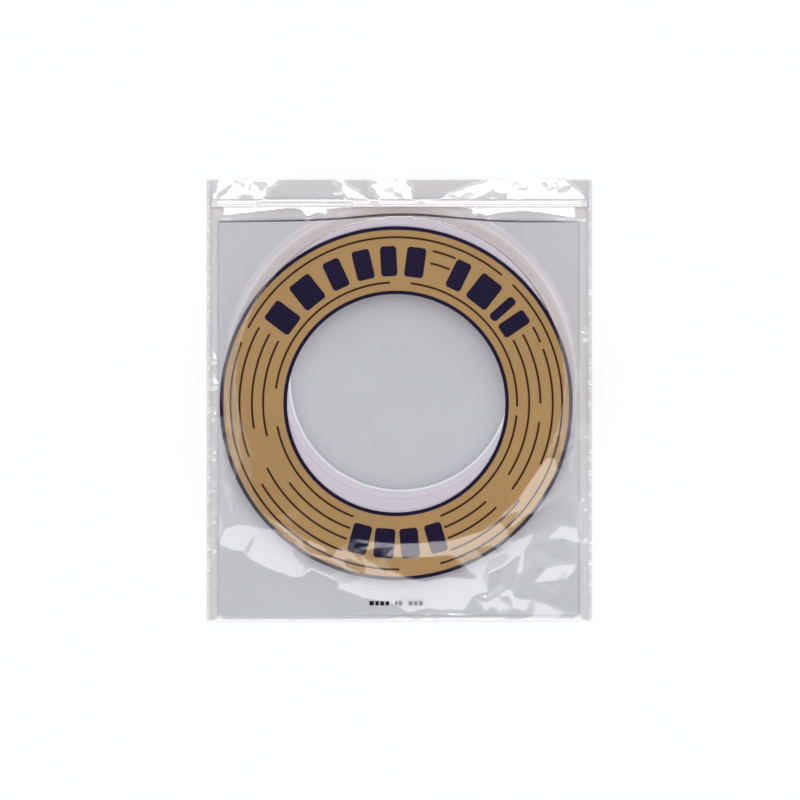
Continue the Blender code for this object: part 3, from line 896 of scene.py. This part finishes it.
def build_fold():
    """The bottom edge, where the sheet turns from the back to the front."""
    stations, around = 300, 11
    radius = (FOLD_HIGH[2] - FOLD_LOW[2]) / 2
    y0 = FOLD_LOW[1] + radius
    verts = []
    for x in np.linspace(-INNER_X, INNER_X, stations):
        pinch = float(smooth(0, 5, INNER_X - abs(x)))
        squeeze = 0.25 + 0.75 * pinch * (0.86 + 0.14 * math.sin(0.55 * x) * math.sin(0.21 * x + 1))
        for k in range(around):
            angle = math.radians(270 - 180 * k / (around - 1))
            y = y0 + radius * math.cos(angle)
            verts.append((x, y, radius * squeeze * (1 + math.sin(angle)) + 0.02))
    fold = new_object("fold", verts, grid_faces(stations, around), film)
    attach(fold, "bag")
    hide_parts("bottom_fold")


# ---- the roll and the card


def rounded(obj, sharp):
    """Smooth shading, apart from edges sharper than the given angle."""
    obj.data.shade_smooth()
    obj.data.set_sharp_from_angle(angle=math.radians(sharp))


def turned(name, outline, material):
    """A ring turned round the roll's axis from a closed (radius, z) outline."""
    segments = 256
    verts = []
    for k in range(segments):
        angle = 2 * math.pi * k / segments
        verts += [(r * math.cos(angle), r * math.sin(angle), z) for r, z in outline]
    n = len(outline)
    faces = []
    for k in range(segments):
        a, b = k * n, ((k + 1) % segments) * n
        for i in range(n):
            j = (i + 1) % n
            faces.append((a + i, b + i, b + j, a + j))
    ring = new_object(name, verts, faces, material, False)
    ring.location = (ROLL_X * MM, ROLL_Y * MM, 0)
    bpy.context.view_layer.update()
    rounded(ring, 35)
    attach(ring, "roll")
    return ring


def strip(name, radius, thick, start, sweep, pitch, material, body):
    """A thin solid strip on edge, along a spiral that comes in by the pitch in each turn."""
    stations = max(12, int(abs(sweep) * 0.8)) + 1
    verts = []
    for k in range(stations):
        turned_by = sweep * k / (stations - 1)
        angle = math.radians(start + turned_by)
        here = radius - pitch * turned_by / 360
        sway = 0.02 * math.sin(7 * angle) + 0.012 * math.sin(19 * angle)
        out, low, high = here + thick / 2, TAPE_LOW[2] + sway, TAPE_HIGH[2] + sway
        for r, z in ((out, low), (out, high), (out - thick, high), (out - thick, low)):
            verts.append((ROLL_X + r * math.cos(angle), ROLL_Y + r * math.sin(angle), z))
    obj = new_object(name, verts, tube_faces(stations, 4, sweep > 0), material, False)
    rounded(obj, 40)
    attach(obj, body)
    return obj


def build_core():
    """The core, with softened edges."""
    z0, z1 = CORE_LOW[2], CORE_HIGH[2]
    bevel, lip = 0.12, 0.2
    outline = [
        (CORE_R, z1 - bevel), (CORE_R, z0 + bevel), (CORE_R - bevel, z0),
        (BORE_R + lip, z0), (BORE_R + lip / 2, z0 + bevel), (BORE_R, z0 + lip),
        (BORE_R, z1 - lip), (BORE_R + lip / 2, z1 - bevel), (BORE_R + lip, z1),
        (CORE_R - 0.06, z1), (CORE_R - 0.02, z1 - 0.03),
    ]
    core = turned("core", outline, core_look)
    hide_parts("core_tube")


def build_wound_tape():
    """The wound tape as a pack of turns, some a little prouder than others."""
    rng = random.Random(11)
    inner, outer = CORE_R + 0.02, TURN_HIGH[0] - ROLL_X - 0.47
    low, high = TAPE_LOW[2], TAPE_HIGH[2]
    turns = 52
    pitch = (outer - inner) / turns
    top, bottom = [], []
    for k in range(turns):
        r = inner + k * pitch
        rise = rng.uniform(-0.05, 0.03)
        up, down = high + rise, low - rise * 0.6
        top += [(r + 0.02, up - 0.03), (r + 0.3 * pitch, up), (r + 0.8 * pitch, up)]
        bottom += [(r + 0.1 * pitch, down), (r + 0.85 * pitch, down)]
    outline = [(outer, high - 0.04), (outer, low + 0.04)]
    outline += bottom[::-1] + [(inner, low), (inner, high)] + top
    pack = turned("tape_pack", outline, tape_look)
    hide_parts("wound_tape")


def build_tape_ends():
    """The outermost turn and the free end past it, each as foil on its liner."""
    foil, liner, gap = 0.06, 0.11, 0.03
    step = foil + liner + 2 * gap
    foil_r = ROLL_R - foil / 2
    liner_r = foil_r - foil / 2 - gap - liner / 2
    start = math.degrees(math.atan2(TAIL_AT[1] - ROLL_Y, TAIL_AT[0] - ROLL_X))
    turn, end = (start, 360, step), (start - 0.15, -10, 0)
    for name, r, thick, path, material, node, slot_name, body in (
        ("foil_turn", foil_r, foil, turn, copper_look, "outer_foil_turn", "copper_foil", "roll"),
        ("liner_turn", liner_r, liner, turn, liner_look, "outer_liner_turn", "release_liner", "roll"),
        ("foil_end", foil_r, foil, end, copper_look, "foil_tail", "copper_foil", "foil_end"),
        ("liner_end", liner_r, liner, end, liner_look, "liner_tail", "release_liner", "liner_end"),
    ):
        tape = strip(name, r, thick, *path, material, body)
        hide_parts(node)


def build_card():
    """The card, with softened edges. Its top edge curls up a little, and the chamfer along it is painted
    dark as the shadow that falls there, darkest in the middle.
    """
    columns, rows = 120, 66
    low, high = CARD_LOW[2], CARD_HIGH[2]
    middle = (CARD_LOW[1] + CARD_HIGH[1]) / 2
    curl_y, curl_x = 2.65, 24.0  # how far the top edge moves towards the mouth, and how wide that is
    xs = np.linspace(CARD_LOW[0], CARD_HIGH[0], columns)
    ys = np.linspace(CARD_LOW[1], CARD_HIGH[1] - 1.6, rows - 2)
    ys = np.concatenate([ys, [CARD_HIGH[1] - 0.9, CARD_HIGH[1]]])
    verts = []
    for z in (high, low):
        for j, y in enumerate(ys):
            share = max(0.0, (y - middle) / (ys[-1] - middle)) ** 2
            for x in xs:
                near_edge = min(x - xs[0], xs[-1] - x, y - ys[0]) < 0.6
                centre = math.exp(-((x / curl_x) ** 2))
                shift = curl_y * centre + 0.12 * math.sin(0.11 * x) - 0.35 if y > middle else 0.0
                if j == rows - 2:
                    shift += 0.35 * (1 - centre)
                drop = 0.05 if near_edge and z == high else 0.0
                if z == high and j == rows - 1:
                    drop = 0.35
                verts.append((x, y + shift * share, z - drop))
    count = columns * rows
    top = grid_faces(rows, columns)
    faces = top + [f[::-1] for f in grid_faces(rows, columns, False, count)]
    rim = list(range(columns)) + list(range(2 * columns - 1, count, columns))
    rim += list(range(count - 2, count - 1 - columns, -1)) + list(range(count - 2 * columns, 0, -columns))
    for a, b in zip(rim, rim[1:] + rim[:1]):
        faces.append((b, a, a + count, b + count))
    card = new_object("card", verts, faces, card_look, False)
    # The second material is the painted shadow on the chamfer along the top edge
    card.data.materials.append(edge_shadow_look)
    for face in card.data.polygons[len(top) - (columns - 1):len(top)]:
        face.material_index = 1
    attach(card, "insert")
    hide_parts("backing_card")


# ---- studio


# Each lamp as (name, place, size, radiance, what it lights), in metres. The clear film mirrors the window as
# pale bands and the key as white glints, and the low lamps keep its steep parts from going dark.
LAMPS = [
    ("overhead", (0, 0, 1.6), (2.4, 2.4), 0.70, "surfaces"),
    ("key", (0.0, 0.53, 1.4), (0.5, 0.34), 8.6, "gloss"),
    ("window", (0.15, -1.05, 1.06), (2.9, 1.08), 2.5, "gloss"),
]
for side, across in (("front", (0, -1.5)), ("back", (0, 1.5)), ("left", (-1.5, 0)), ("right", (1.5, 0))):
    LAMPS.append(("low " + side, (*across, 0.30), (3.0, 0.8), 0.9, "gloss"))

# The camera stands over the pack and takes in this width of it
CAMERA_X, CAMERA_Y = 0.24, 0.17
LENS, SENSOR, VIEW_WIDTH = 200.0, 36.0, 279.1
FLOOR_SIZE, FLOOR_Z = 6000.0, -0.2


def add_area(name, place, size, radiance, lights):
    """A lamp that faces the middle of the bag, and lights either surfaces or gloss."""
    data = bpy.data.lights.new(name, "AREA")
    data.shape = "RECTANGLE"
    data.size, data.size_y = size
    data.energy = radiance * math.pi * size[0] * size[1]
    data.color = (1.0, 0.995, 0.99)
    lamp = bpy.data.objects.new(name, data)
    lamp.location = place
    lamp.rotation_euler = (-Vector(place)).to_track_quat("-Z", "Y").to_euler()
    lamp.visible_diffuse = lights == "surfaces"
    lamp.visible_glossy = lights == "gloss"
    bpy.context.scene.collection.objects.link(lamp)


def studio_world():
    """Pale walls all round, and a dark strip of ceiling, which flat film mirrors."""
    world = bpy.data.worlds.new("studio")
    world.use_nodes = True
    tree = world.node_tree
    place = tree.nodes.new("ShaderNodeTexCoord")
    parts = tree.nodes.new("ShaderNodeSeparateXYZ")
    tree.links.new(place.outputs["Generated"], parts.inputs[0])
    levels = []
    for axis, sign, stops in ((0, 0, SIDE_LEVELS), (1, -1, FRONT_LEVELS), (1, 1, BACK_LEVELS)):
        size = tree.nodes.new("ShaderNodeMath")
        size.operation = "MULTIPLY" if sign else "ABSOLUTE"
        size.inputs[1].default_value = sign
        tree.links.new(parts.outputs[axis], size.inputs[0])
        ramp = tree.nodes.new("ShaderNodeValToRGB")
        elements = ramp.color_ramp.elements
        for position, level in stops[2:]:
            elements.new(position)
        for element, (position, level) in zip(elements, stops):
            element.position = position
            element.color = (level * 0.985, level, level * 1.015, 1)
        tree.links.new(size.outputs[0], ramp.inputs[0])
        levels.append(ramp.outputs[0])
    brightest = levels[0]
    for level in levels[1:]:
        most = tree.nodes.new("ShaderNodeMix")
        most.data_type, most.blend_type = "RGBA", "LIGHTEN"
        most.inputs[0].default_value = 1.0
        tree.links.new(brightest, most.inputs[6])
        tree.links.new(level, most.inputs[7])
        brightest = most.outputs[2]
    tree.links.new(brightest, tree.nodes["Background"].inputs[0])
    tree.nodes["Background"].inputs[1].default_value = 1.0
    return world


def add_camera():
    data = bpy.data.cameras.new("camera")
    data.lens, data.sensor_width = LENS, SENSOR
    data.clip_start, data.clip_end = 0.05, 20
    camera = bpy.data.objects.new("camera", data)
    camera.location = (CAMERA_X * MM, CAMERA_Y * MM, VIEW_WIDTH * LENS / SENSOR * MM)
    bpy.context.scene.collection.objects.link(camera)
    bpy.context.scene.camera = camera


def build_studio():
    bpy.ops.mesh.primitive_plane_add(size=FLOOR_SIZE * MM, location=(0, 0, FLOOR_Z * MM))
    floor = bpy.context.object
    floor.name = "studio_floor"
    floor.data.materials.append(floor_material())
    for lamp in LAMPS:
        add_area(*lamp)
    add_camera()
    scene = bpy.context.scene
    scene.world = studio_world()
    scene.view_settings.view_transform = "Standard"
    scene.view_settings.look = "None"
    scene.view_settings.exposure = 0.0


def finish_cad_nodes():
    """Better materials for the CAD nodes that keep their own shapes."""
    adhesive = film_material("starter_adhesive_look", (0.9, 0.88, 0.82), 0.4, roughness=0.3, metal=0.1)
    for node, look in (("zip_rib", zip_plastic), ("starter_strip", adhesive)):
        frame["nodes"][node].data.materials.clear()
        frame["nodes"][node].data.materials.append(look)


build_front_film()
build_lips()
build_jaws()
build_back_film()
build_welds()
build_fold()
build_core()
build_wound_tape()
build_tape_ends()
build_card()
finish_cad_nodes()
build_studio()
